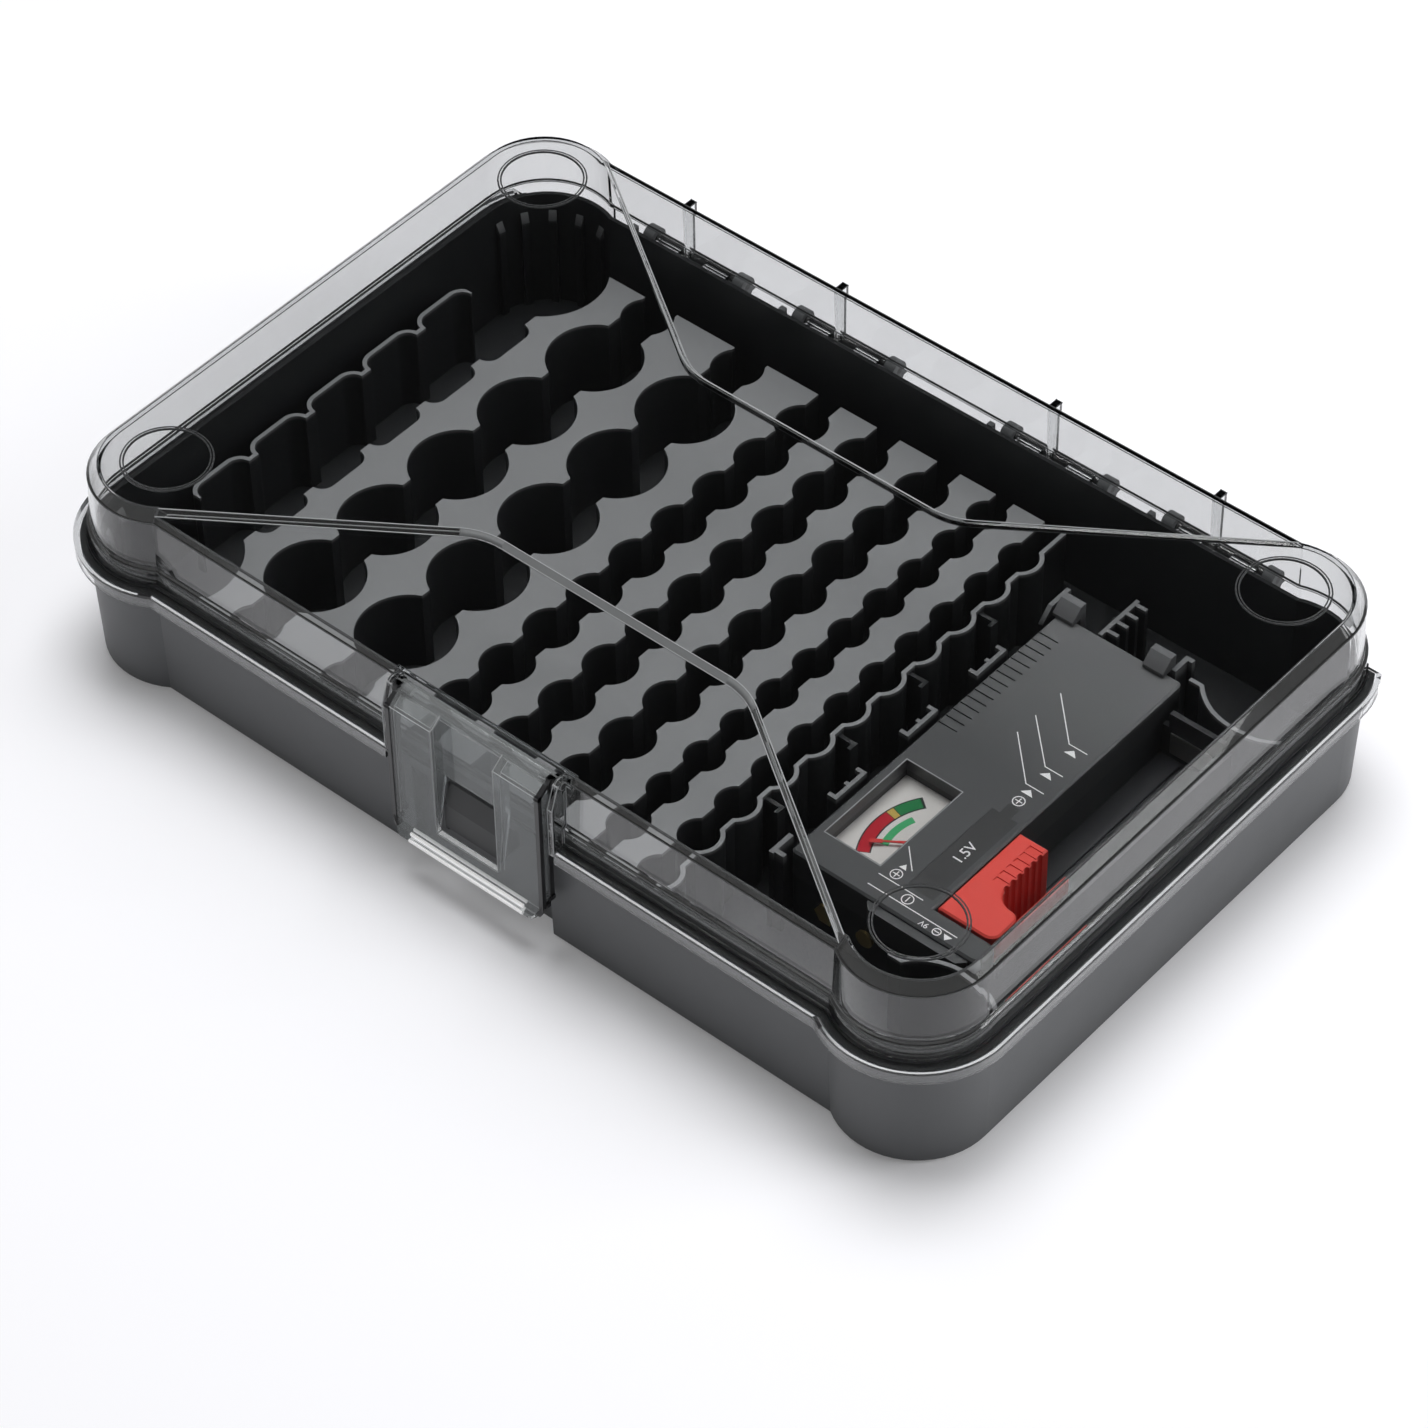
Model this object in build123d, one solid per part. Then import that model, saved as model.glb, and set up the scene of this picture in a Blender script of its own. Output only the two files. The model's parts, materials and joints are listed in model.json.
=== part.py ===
from build123d import *
import math
import os

os.makedirs("parts", exist_ok=True)

# Battery organiser case: a dark moulded tray with cell pockets and a battery tester, a clear
# hinged lid and a swinging front latch. Millimetres, +Z up, latch on the -Y side, origin at
# the middle of the footprint on the surface that the case stands on.

# ---- the case: its plan is four corner drums joined by straight walls ----
drum_x = 126.0  # corner drum centres from the middle
drum_y = 73.4
front_set_in = 3.6  # how far the long walls sit inside the drums
back_set_in = 1.5

foot_round = 1.0
base_r = 22.0  # drum radius at the foot
rim_r = 23.2  # and under the ledge
ledge_r = 25.1
tongue_r = 21.1
cavity_low_r = 19.5
cavity_high_r = 19.9
floor_z = 2.0
underside_recess = 0.5
ledge_z = 35.7
ledge_top_z = 37.5
tongue_top_z = 40.8
deck_z = 28.4

# ---- the clear lid ----
lid_gap = 0.2  # lid flange over the ledge
lid_wall = 1.5
flange_r = 26.8
lip_wall = 1.3
lip_z = 35.2
flange_thick = 1.6
lip_back_y = 86.0  # the lip stops short of the hinge side
skirt_r = 22.8
skirt_z = 44.5
skirt_slope = 0.9
wall_low_r = 21.8
wall_high_r = 21.3
wall_top_z = 60.5
top_r = 18.3
top_z = 63.7
panel_z = 62.0  # sunk panels along the front and back of the lid
panel_edge_r = 20.0
panel_inner_y = 41.2
panel_inner_x = 44.0
panel_round = 20.0
ring_r = 12.3
ring_wide = 0.9
ring_high = 0.35

# ---- cells: pocket diameter, pitch along Y and the slot that joins the pockets ----
c_pocket, c_pitch, c_slot = 27.6, 27.9, 11.8
aa_pocket, aa_pitch, aa_slot = 15.2, 17.05, 8.0
aaa_pocket, aaa_pitch, aaa_slot = 11.2, 14.47, 6.0
block_x, block_y, block_pitch, block_slot = 27.9, 18.5, 22.2, 20.2
block_round = 4.0
d_pocket = 36.4
cell_wall = 1.2
ridge_end_y = 83.8
ridge_corner = 2.0

block_column_x = -126.6
c_columns_x = (-92.5, -59.8)
aa_columns_x = (-31.7, -11.0, 9.9)
aaa_columns_x = (29.1, 45.7)
aa_first_y = 71.8
aa_count = 9
aaa_first_y = (75.9, 68.7)
aaa_count = 11
c_count = 5
block_count = 5
end_aa_y = 77.9  # the small pocket at both ends of each C column

# ---- hinges ----
hinge_y = 98.2
hinge_z = 37.4
hinge_x = (-90.5, -36.5, 36.5, 90.5)
hinge_long = 36.0
ear_wide = 3.5
ear_r = 3.1
barrel_r = 2.2
hinge_pin_r = 1.1
bar_out, bar_down, bar_side = 2.0, 2.6, 1.3  # bar along the outside of each cradle
running_gap = 0.06
side_gap = 0.35

# ---- latch: a clear plate that swings on two pins at the lid's front edge ----
latch_y = -92.0  # pivot
latch_z = 59.6
latch_half = 25.5
latch_face_y = -98.2
latch_wall = 1.8
latch_bend_z = 57.8
latch_low_z = 12.4
latch_corner = 6.0
latch_pin_r = 1.0
latch_barrel_r = 2.1
cheek_x = 27.0
cheek_wall = 1.6
window_half = 10.4
window_low_z = 20.8
window_high_z = 39.5
window_plate_y = -94.4  # sunk panel above the window
catch_half = 9.2
catch_low_z = 21.6
catch_y = -96.1
bay_half = 22.7
bay_y = -87.6

# ---- battery tester ----
tester_x = 66.7
tester_y = -50.5
tester_wide = 60.0
tester_long = 109.8
tester_panel = 40.2  # width of the raised part that holds the meter
tester_foot_z = 3.4
tester_top_z = 28.4
tester_round = 1.2
cover_deep = 9.0
shell_wall = 1.6
trough_gap = 0.9  # from the trough's end to the curved wall behind it
trough_lap = 1.6  # the trough's floor under the panel
big_wall_end = 11.2  # the curved walls stop this much short of the drum centre
lead_gap = 0.6
trough_floor_z = 9.0
meter_in_x, meter_in_y = 11.8, 26.5  # middle of the meter's window from the tester's corner
meter_wide, meter_long = 17.6, 32.4
dial_z = 22.0
needle_in_x = 21.9
needle_long = 14.0
needle_turn = 215.0  # where the needle rests, degrees from +X
slider_in_y = 8.5
slider_long = 33.0
slider_wide = 8.9
slider_foot = 11.0
grip_count, grip_first, grip_pitch = 6, 3.3, 2.72
grip_r, grip_long = 1.1, 4.3
clip_in_x = (2.7, 32.1)
clip_wide = 6.6
clip_thick = 2.2
clip_gap = 0.3
clip_reach = 3.4
clip_high = 4.6
rail_gap = 2.4
rail_wall = 1.2
rail_half = 6.2
rail_share = (0.246, 0.509, 0.768)  # along the tester
rest_share = (0.17, 0.48, 0.79)
post_wall = 1.4
post_long = 8.0
comb_in_x = 11.8
comb_long = 16.5
comb_tooth = 4.6
groove_count, groove_pitch, groove_long, groove_wide = 15, 3.0, 6.6, 0.5
groove_end = 9.3  # last groove from the tester's back edge
inlay_in_x, inlay_wide, inlay_in_y, inlay_long = 29.9, 8.4, 9.3, 34.2
inlay_step, inlay_step_long = 2.4, 4.1
inlay_deep = 0.6
can_wall = 0.8
can_deep = 8.0
can_past_needle = 7.0
window_thick = 0.8
nose_out, nose_wide = 2.6, 15.0

# ------------------------------------------------------------------------------------------


def save(name, shape):
    """write one node"""
    export_step(shape, f"parts/{name}.step")


def case_plan(radius):
    """outline of the case at one drum radius"""
    parts = []
    front_y = -(drum_y + radius - front_set_in)
    back_y = drum_y + radius - back_set_in
    front_reach = math.sqrt(radius**2 - (radius - front_set_in) ** 2)
    back_reach = math.sqrt(radius**2 - (radius - back_set_in) ** 2)
    front_turn = math.degrees(math.atan2(radius - front_set_in, -front_reach))
    back_turn = math.degrees(math.atan2(radius - back_set_in, -back_reach))
    parts.append(CenterArc((drum_x, drum_y), radius, 0, back_turn))
    parts.append(Line((drum_x - back_reach, back_y), (back_reach - drum_x, back_y)))
    parts.append(CenterArc((-drum_x, drum_y), radius, 180 - back_turn, back_turn))
    parts.append(Line((-drum_x - radius, drum_y), (-drum_x - radius, -drum_y)))
    parts.append(CenterArc((-drum_x, -drum_y), radius, 180, front_turn))
    parts.append(Line((front_reach - drum_x, front_y), (drum_x - front_reach, front_y)))
    parts.append(CenterArc((drum_x, -drum_y), radius, 360 - front_turn, front_turn))
    parts.append(Line((drum_x + radius, -drum_y), (drum_x + radius, drum_y)))
    return make_face(Wire(parts))


def case_loft(*levels):
    """straight-sided body through (drum radius, height) levels"""
    return loft([Pos(0, 0, z) * case_plan(r) for r, z in levels], ruled=True)


def case_block(radius, low, high):
    """upright body of the case's plan"""
    return extrude(Pos(0, 0, low) * case_plan(radius), high - low)


def block(x0, x1, y0, y1, z0, z1):
    """box between two corners"""
    centre = Pos((x0 + x1) / 2, (y0 + y1) / 2, (z0 + z1) / 2)
    return centre * Box(x1 - x0, y1 - y0, z1 - z0)


def rod(x0, x1, y, z, radius):
    """round bar along X"""
    return Pos((x0 + x1) / 2, y, z) * Rot(0, 90, 0) * Cylinder(radius, x1 - x0)


def side_profile(points, x0, x1):
    """(y, z) outline drawn out along X"""
    face = Plane.YZ.offset(x0) * make_face(Polyline(*points, close=True))
    return extrude(face, x1 - x0)


# ---- base shell ----
base = case_loft((base_r - foot_round, 0), (base_r, foot_round), (rim_r, ledge_z))
base += case_block(ledge_r, ledge_z, ledge_top_z)
base += case_block(tongue_r, ledge_top_z, tongue_top_z)
# the ledge is left out behind the lid's hinge side
back_cut_y = drum_y + rim_r - back_set_in
base -= block(-200, 200, lip_back_y, 200, ledge_z, ledge_top_z) - case_block(
    rim_r, ledge_z, ledge_top_z
)
bay_back = block(-bay_half - 2, bay_half + 2, bay_y - 2, bay_y + 2, 0, ledge_z)
cavity = case_loft((cavity_low_r, floor_z), (cavity_high_r, tongue_top_z))
base -= cavity - bay_back
base -= block(-bay_half, bay_half, -120, bay_y, -1, ledge_z - 1.7)
notch_y = -(drum_y + rim_r - front_set_in)
base -= block(-latch_half - 1.5, latch_half + 1.5, -120, notch_y, ledge_z - 1, ledge_top_z + 1)
under = case_block(base_r - 6, -1, underside_recess)
under -= block(-bay_half - 8, bay_half + 8, -120, bay_y + 8, -2, 5)
base -= under
save("base_shell", base)

# ---- cell ridges between the columns of pockets ----


def run_of(count, pitch, first):
    """pocket centres along Y, from the back forwards"""
    return [first - i * pitch for i in range(count)]


c_ys = run_of(c_count, c_pitch, c_pitch * (c_count - 1) / 2)
block_ys = run_of(block_count, block_pitch, block_pitch * (block_count - 1) / 2)
aa_ys = run_of(aa_count, aa_pitch, aa_first_y)


def column_plan(x, ys, pocket, slot, grow=0.0):
    """pockets of one column and the slot that joins them"""
    plan = Pos(x, 0) * Rectangle(slot + 2 * grow, 2 * ridge_end_y + 2)
    for y in ys:
        plan += Pos(x, y) * Circle(pocket / 2 + grow)
    return plan


def block_column_plan(grow=0.0):
    """pockets of the 9 V column, with the D pockets at its two ends"""
    x = block_column_x
    plan = Pos(x, 0) * Rectangle(block_slot + 2 * grow, 2 * drum_y)
    for y in block_ys:
        pocket = RectangleRounded(block_x + 2 * grow, block_y + 2 * grow, block_round + grow)
        plan += Pos(x, y) * pocket
    for y in (drum_y, -drum_y):
        plan += Pos(x, y) * Circle(d_pocket / 2 + grow)
    return plan


def c_column_plan(x, grow=0.0):
    """C pockets with a small pocket at both ends"""
    plan = column_plan(x, c_ys, c_pocket, c_slot, grow)
    for y in (end_aa_y, -end_aa_y):
        plan += Pos(x, y) * Circle(aa_pocket / 2 + grow)
    return plan


columns = [(block_column_x, block_column_plan)]
for x in c_columns_x:
    columns.append((x, lambda grow=0.0, x=x: c_column_plan(x, grow)))
for x in aa_columns_x:
    columns.append((x, lambda grow=0.0, x=x: column_plan(x, aa_ys, aa_pocket, aa_slot, grow)))
for x, first in zip(aaa_columns_x, aaa_first_y):
    ys = run_of(aaa_count, aaa_pitch, first)
    columns.append((x, lambda grow=0.0, x=x, ys=ys: column_plan(x, ys, aaa_pocket, aaa_slot, grow)))

for number in range(len(columns) - 1):
    left_x, left_cut = columns[number]
    right_x, right_cut = columns[number + 1]
    span = right_x - left_x
    strip = Pos((left_x + right_x) / 2, 0) * RectangleRounded(span - 0.01, 2 * ridge_end_y, ridge_corner)
    ridge = strip - left_cut() - right_cut()
    body = extrude(Pos(0, 0, floor_z) * ridge, deck_z - floor_z)
    save(f"cell_ridge_{number + 1}", body)

# ---- thin scalloped walls at both sides of the cell field ----
left_plan = block_column_plan(cell_wall) - block_column_plan()
left_keep = Pos(block_column_x - 20, 0) * Rectangle(24, 2 * drum_y - d_pocket - 2)
left_wall = extrude(Pos(0, 0, floor_z) * (left_plan & left_keep), deck_z - floor_z)
save("cell_wall_left", left_wall)

last_x, last_plan = columns[-1]
right_plan = last_plan(cell_wall) - last_plan()
right_keep = Pos(last_x + 10 + aaa_slot / 2, 0) * Rectangle(20, 2 * ridge_end_y)
right_wall = extrude(Pos(0, 0, floor_z) * (right_plan & right_keep), deck_z - floor_z)
fin_pitch = 2 * aaa_pitch
fin_long = 6.0
fin_x = last_x + aaa_slot / 2 + cell_wall - 0.4
for i in range(4):
    y = aaa_first_y[1] - aaa_pitch * 1.5 - i * fin_pitch
    fin = block(fin_x, fin_x + fin_long, y - 0.6, y + 0.6, floor_z, deck_z - 1.5)
    fin += block(fin_x + fin_long - 1.2, fin_x + fin_long, y - 2.4, y + 0.6, floor_z, deck_z - 1.5)
    right_wall += fin
save("cell_wall_right", right_wall)

# ---- ribs that centre the big cells in the left corner drums ----
ribs = []
rib_deep = 1.4
for side, angles in ((1, (78, 102, 126, 150, 174)), (-1, (-78, -102, -126, -150, -174))):
    for angle in angles:
        profile = [
            (cavity_low_r - rib_deep, floor_z),
            (cavity_low_r - 0.05, floor_z),
            (cavity_low_r - 0.05, deck_z + 7),
            (cavity_low_r - rib_deep, deck_z + 4),
        ]
        face = Plane.XZ * make_face(Polyline(*profile, close=True))
        rib = extrude(face, 1.1, both=True)
        ribs.append(Pos(-drum_x, side * drum_y) * Rot(0, 0, angle) * rib)
save("corner_ribs", Compound(ribs))

# ---- curved walls of the right-hand big pockets ----
big_outer_r = d_pocket / 2 + cell_wall
lead_x1 = drum_x - math.sqrt(big_outer_r**2 - big_wall_end**2) + cell_wall
lead_x0 = tester_x + tester_panel + lead_gap
for name, side in (("back", 1), ("front", -1)):
    ring = Circle(big_outer_r) - Circle(d_pocket / 2)
    near = Rectangle(drum_x, 2 * drum_y, align=(Align.MAX, Align.MIN if side < 0 else Align.MAX))
    ring = ring & (Pos(d_pocket / 3, -side * big_wall_end) * near)
    wall = extrude(Pos(drum_x, side * drum_y, floor_z) * ring, deck_z - floor_z)
    lead_y = side * (drum_y - big_wall_end - cell_wall / 2)
    wall += block(lead_x0, lead_x1, lead_y - cell_wall / 2, lead_y + cell_wall / 2, floor_z, deck_z)
    save(f"big_cell_wall_{name}", wall)

# ---- rails, posts and the comb that hold the tester ----
tester_back = tester_y + tester_long
rail_x = tester_x - rail_gap
rail_top = deck_z - rail_wall / 2
rails = []
for share in rail_share:
    y = tester_y + share * tester_long
    end = rail_half - rail_wall / 2
    rail = block(rail_x - rail_wall, rail_x, y - rail_half, y + rail_half, floor_z, rail_top)
    for tooth_y, deep in ((y - end, 2.5 * rail_wall), (y, 1.8 * rail_wall), (y + end, 2.5 * rail_wall)):
        rail += block(
            rail_x - deep, rail_x, tooth_y - rail_wall / 2, tooth_y + rail_wall / 2, floor_z, rail_top
        )
    rails.append(rail)
save("tester_rails", Compound(rails))

posts = []
post_top = deck_z + post_wall / 2
post_back = tester_back + post_long
post = side_profile(
    [(tester_back - post_long / 2, floor_z), (post_back, floor_z), (post_back, post_top),
     (tester_back, post_top), (tester_back - post_long / 2, post_top - post_long / 2)],
    rail_x - post_wall, rail_x,
)
web_y = tester_back + post_long / 2
post += block(rail_x, rail_x + 2 * post_wall, web_y, web_y + post_wall, floor_z, post_top)
posts.append(post)
post = block(rail_x - post_wall, rail_x, tester_y - post_long / 2, tester_y + post_long / 2, floor_z, deck_z)
web_y = tester_y - post_long / 4
post += block(rail_x, rail_x + 2 * post_wall, web_y - post_wall, web_y, floor_z, deck_z)
posts.append(post)
corner_x = tester_x + tester_panel - 2.4 * post_wall
post = block(corner_x - post_wall, corner_x, tester_back + post_wall, post_back, floor_z, post_top)
post += block(corner_x, corner_x + post_wall, post_back - post_wall, post_back, floor_z, post_top)
posts.append(post)
save("tester_posts", Compound(posts))

comb_x = tester_x + comb_in_x
comb_y = tester_back + rail_wall
comb_top = deck_z - rail_wall
comb = block(comb_x, comb_x + rail_wall, comb_y, comb_y + comb_long, floor_z, comb_top)
for i in range(4):
    y = comb_y + comb_long * (0.12 + 0.25 * i)
    comb += block(comb_x, comb_x + comb_tooth, y, y + rail_wall, floor_z, comb_top)
save("comb_rib", comb)

rests = []
for share in rest_share:
    y = tester_y + share * tester_long
    rests.append(block(
        tester_x + 2 * shell_wall, tester_x + tester_wide - 2 * shell_wall,
        y - shell_wall / 2, y + shell_wall / 2, floor_z, tester_foot_z,
    ))
save("tester_rests", Compound(rests))

clips = []
clip_y = tester_back + clip_thick / 2
for offset in clip_in_x:
    nose_z = tester_top_z + clip_gap
    nose_y = clip_y - clip_reach
    outline = [
        (clip_y + clip_thick, floor_z), (clip_y, floor_z), (clip_y, nose_z), (nose_y, nose_z),
        (nose_y, nose_z + clip_thick / 2), (clip_y, tester_top_z + clip_high),
        (clip_y + clip_thick, tester_top_z + clip_high),
    ]
    middle = tester_x + offset
    clips.append(side_profile(outline, middle - clip_wide / 2, middle + clip_wide / 2))
save("tester_clips", Compound(clips))

# ---- hinge cradles on the back wall ----
cradles = []
pins = []
for x in hinge_x:
    cradle = Part()
    for side in (-1, 1):
        outer = x + side * hinge_long / 2
        inner = outer - side * ear_wide
        low, high = min(outer, inner), max(outer, inner)
        bracket = [
            (back_cut_y - 1.5, hinge_z - 11), (back_cut_y, hinge_z - 11),
            (hinge_y + ear_r * 0.8, hinge_z - ear_r * 0.6), (hinge_y, hinge_z),
            (hinge_y - ear_r, hinge_z), (back_cut_y - 1.5, hinge_z - 0.4),
        ]
        cradle += side_profile(bracket, low, high)
        cradle += rod(low, high, hinge_y, hinge_z, ear_r)
    cradle += block(
        x - hinge_long / 2, x + hinge_long / 2, hinge_y + bar_out, hinge_y + bar_out + bar_side,
        hinge_z - bar_down, hinge_z - bar_down + bar_side,
    )
    cradle -= rod(x - hinge_long, x + hinge_long, hinge_y, hinge_z, hinge_pin_r)
    skirt_space = case_block(skirt_r + side_gap, ledge_top_z, skirt_z)
    cradles.append(cradle - base - skirt_space)
    pin = rod(x - hinge_long / 2, x + hinge_long / 2, hinge_y, hinge_z, hinge_pin_r)
    pin += rod(x - hinge_long / 2 - 0.8, x - hinge_long / 2, hinge_y, hinge_z, 1.7)
    pins.append(pin)
save("hinge_cradles", Compound(cradles))
save("hinge_pins", Compound(pins))

pegs = []
for x in hinge_x:
    peg_x = x - hinge_long / 2 - 4
    peg = block(peg_x - 0.9, peg_x + 0.9, back_cut_y + 0.6, back_cut_y + 2.2, hinge_z - 8, hinge_z + 1.4)
    peg += block(peg_x - 0.9, peg_x + 0.9, back_cut_y - 1, back_cut_y + 0.6, hinge_z - 8, hinge_z - 4)
    pegs.append(peg - base)
save("lid_stop_pegs", Compound(pegs))

# ---- catch that the latch closes over ----
catch_outline = [
    (bay_y, catch_low_z), (catch_y + 0.8, catch_low_z), (catch_y, catch_low_z + 1), (catch_y, 31),
    (catch_y + 2.0, ledge_top_z), (notch_y, ledge_top_z), (notch_y, ledge_z - 1.7),
    (bay_y, ledge_z - 1.7),
]
catch = side_profile(catch_outline, -catch_half, catch_half) - base
save("latch_catch", catch)

# ---- clear lid ----
web_z = ledge_top_z + lid_gap
web_top_z = web_z + flange_thick
flange = case_block(flange_r, web_z, web_top_z)
lip = case_block(flange_r, lip_z, web_z) - case_block(flange_r - lip_wall, lip_z, web_z)
flange += lip
flange -= case_block(skirt_r - lid_wall + 0.2, web_z - 1, web_top_z + 1)
flange -= block(-200, 200, lip_back_y, 200, 0, 100)
skirt_front = drum_y + skirt_r - front_set_in
flange -= block(-cheek_x - cheek_wall, cheek_x + cheek_wall, -200, -skirt_front, 0, 100)

crown = case_loft(
    (skirt_r, web_z), (skirt_r, skirt_z), (wall_low_r, skirt_z + skirt_slope),
    (wall_high_r, wall_top_z), (top_r, top_z),
)


def panel_plan(side, set_in, grow=0.0):
    """sunk panel along one long edge of the lid"""
    edge_y = drum_y + panel_edge_r - set_in
    reach = math.sqrt(panel_edge_r**2 - (panel_edge_r - set_in) ** 2)
    points = [
        (reach - drum_x - grow, side * edge_y), (-panel_inner_x - grow / 2, side * (panel_inner_y - grow)),
        (panel_inner_x + grow / 2, side * (panel_inner_y - grow)), (drum_x - reach + grow, side * edge_y),
        (drum_x - reach + grow, side * (edge_y + 20)), (reach - drum_x - grow, side * (edge_y + 20)),
    ]
    plan = make_face(Polyline(*points, close=True))
    inner = [v for v in plan.vertices() if abs(v.Y) < panel_inner_y + 1]
    return fillet(inner, panel_round)


panels = Part()
thick_panels = Part()
for side, set_in in ((-1, front_set_in), (1, back_set_in)):
    panels += extrude(Pos(0, 0, panel_z) * panel_plan(side, set_in), 6, taper=-40)
    thick_panels += extrude(
        Pos(0, 0, panel_z - lid_wall) * panel_plan(side, set_in, lid_wall), 6
    )
crown -= panels
hollow = case_loft(
    (skirt_r - lid_wall + 0.2, web_z - 1), (skirt_r - lid_wall + 0.2, skirt_z - 0.6),
    (wall_low_r - lid_wall, skirt_z + 0.6), (wall_high_r - lid_wall, wall_top_z - 0.9),
    (top_r - 0.9, top_z - lid_wall),
)
hollow -= thick_panels
pocket_y = latch_y + latch_barrel_r + side_gap
pocket_z = latch_z - latch_barrel_r - side_gap - 0.6
hollow -= block(
    -cheek_x - cheek_wall - lid_wall, cheek_x + cheek_wall + lid_wall, -200, pocket_y + lid_wall,
    pocket_z - lid_wall, 100,
)
crown -= hollow
crown -= block(-cheek_x, cheek_x, -200, pocket_y, pocket_z, 100)
lid = crown + flange
for side in (-1, 1):
    x0, x1 = sorted((side * cheek_x, side * (cheek_x + cheek_wall)))
    face_y = -(drum_y + flange_r - front_set_in)
    cheek = side_profile(
        [(-skirt_front + 1, web_z), (face_y, web_z), (face_y, 54), (latch_y - 2.2, latch_z + 1.2),
         (latch_y, latch_z + 2), (latch_y + 4, latch_z + 2), (latch_y + 4, web_z + 2)],
        x0, x1,
    )
    cheek += rod(x0, x1, latch_y, latch_z, latch_barrel_r + 0.3)
    lid += cheek - hollow
lid -= rod(-cheek_x - 3, cheek_x + 3, latch_y, latch_z, latch_pin_r)
for x in hinge_x:
    lid += block(x - 1, x + 1, drum_y + wall_low_r - back_set_in - 1, hinge_y - 2.1, 41.5, wall_top_z)
for sx in (-1, 1):
    for sy in (-1, 1):
        ring = Circle(ring_r) - Circle(ring_r - ring_wide)
        lid += extrude(Pos(sx * drum_x, sy * drum_y, top_z - 0.1) * ring, ring_high + 0.1)
save("lid_shell", lid)

barrels = []
for x in hinge_x:
    half = hinge_long / 2 - ear_wide - side_gap
    barrel = rod(x - half, x + half, hinge_y, hinge_z, barrel_r)
    for offset in (-8.5, 8.5):
        barrel += block(x + offset - 4, x + offset + 4, back_cut_y - 2, hinge_y, web_z + 0.3, web_z + 2)
    barrel -= rod(x - half - 1, x + half + 1, hinge_y, hinge_z, hinge_pin_r + running_gap)
    barrels.append(barrel - lid)
save("lid_barrels", Compound(barrels))

latch_pins = []
for side in (-1, 1):
    x0, x1 = sorted((side * (cheek_x - 5), side * (cheek_x + cheek_wall)))
    latch_pins.append(rod(x0, x1, latch_y, latch_z, latch_pin_r))
save("latch_pins", Compound(latch_pins))

# ---- latch ----
inner_y = latch_face_y + latch_wall
plate_outline = [
    (latch_y, latch_z + latch_barrel_r), (latch_y - 1.2, latch_z + latch_barrel_r - 0.1),
    (latch_face_y, latch_bend_z), (latch_face_y, latch_low_z + 5),
    (latch_face_y - 0.5, latch_low_z + 2.6), (latch_face_y - 1.6, latch_low_z + 0.8),
    (latch_face_y - 1.0, latch_low_z), (latch_face_y + 0.4, latch_low_z + 0.9),
    (inner_y - 0.3, latch_low_z + 3), (inner_y, latch_low_z + 6),
    (inner_y, latch_bend_z - 1), (latch_y, latch_z),
]
latch = side_profile(plate_outline, -latch_half, latch_half)
sunk = window_plate_y - latch_face_y
latch -= block(-window_half, window_half, -120, window_plate_y, window_high_z, 100)
latch -= block(-window_half, window_half, -120, -80, window_low_z, window_high_z)
frame = side_profile(
    [(inner_y - 0.5, window_low_z - 1.4), (window_plate_y + 0.6, window_high_z - 4),
     (window_plate_y + 1.3, window_high_z), (window_plate_y + 1.3, latch_bend_z + 0.5),
     (window_plate_y, latch_z), (latch_face_y + 0.6, latch_bend_z - 0.8), (latch_face_y + 0.6, 22)],
    -window_half - 1.4, window_half + 1.4,
)
well = block(-window_half, window_half, -120, window_plate_y, window_low_z, 100)
well += block(-window_half, window_half, -120, -80, window_low_z, window_high_z)
latch += frame - well
for side in (-1, 1):
    x0, x1 = sorted((side * latch_half, side * (latch_half - 1.5)))
    latch += side_profile(
        [(latch_face_y + 0.5, latch_low_z + 5), (latch_face_y + 4.0, latch_low_z + 7),
         (latch_face_y + 4.0, 50), (latch_y - 0.8, latch_z - 2), (latch_y, latch_z),
         (latch_face_y + 0.5, latch_bend_z)],
        x0, x1,
    )
outline = RectangleRounded(2 * latch_half, 90 - latch_low_z, latch_corner)
front_view = Plane.XZ * (Pos(0, (latch_low_z + 90) / 2) * outline)
latch &= extrude(front_view, 130, both=True)
latch += rod(-cheek_x + side_gap, cheek_x - side_gap, latch_y, latch_z, latch_barrel_r)
latch -= rod(-cheek_x, -cheek_x + 5.4, latch_y, latch_z, latch_pin_r + running_gap)
latch -= rod(cheek_x - 5.4, cheek_x, latch_y, latch_z, latch_pin_r + running_gap)
save("latch", latch)

# ---- battery tester ----
seam_z = tester_top_z - cover_deep
trough_x = tester_x + tester_panel
right_x = tester_x + tester_wide
slider_y = tester_y + slider_in_y
front_block_y = slider_y - 1.0
trough_end_y = drum_y - big_outer_r - trough_gap
panel_box = Pos(tester_x + tester_panel / 2, tester_y + tester_long / 2) * RectangleRounded(
    tester_panel, tester_long, 1.5
)
trough_long = trough_end_y - tester_y
trough_span = tester_wide - tester_panel + trough_lap
trough_box = Pos(right_x - trough_span / 2, tester_y + trough_long / 2) * (
    RectangleRounded(trough_span, trough_long, 1.5)
)
front_box = Pos((tester_x + right_x) / 2, (tester_y + front_block_y) / 2) * RectangleRounded(
    tester_wide, front_block_y - tester_y, 2.5
)
housing = extrude(Pos(0, 0, tester_foot_z) * (panel_box + trough_box), seam_z - tester_foot_z)
housing -= block(
    tester_x + shell_wall, trough_x - shell_wall, tester_y + shell_wall, tester_back - shell_wall,
    tester_foot_z + shell_wall, 100,
)
housing -= block(trough_x, right_x - shell_wall, front_block_y, trough_end_y - shell_wall,
                 trough_floor_z, 100)
housing += block(trough_x + 2, right_x - 1, trough_end_y - shell_wall, trough_end_y, 10, tester_top_z - 4)
groove_x = trough_x + 0.35 * (tester_wide - tester_panel)
housing -= block(groove_x, groove_x + 0.8, front_block_y, trough_end_y - 2 * shell_wall,
                 trough_floor_z - 0.6, 100)
housing += block(right_x - shell_wall, right_x, front_block_y, trough_end_y, 10, seam_z + 2)
screw_in = 6.0
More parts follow.
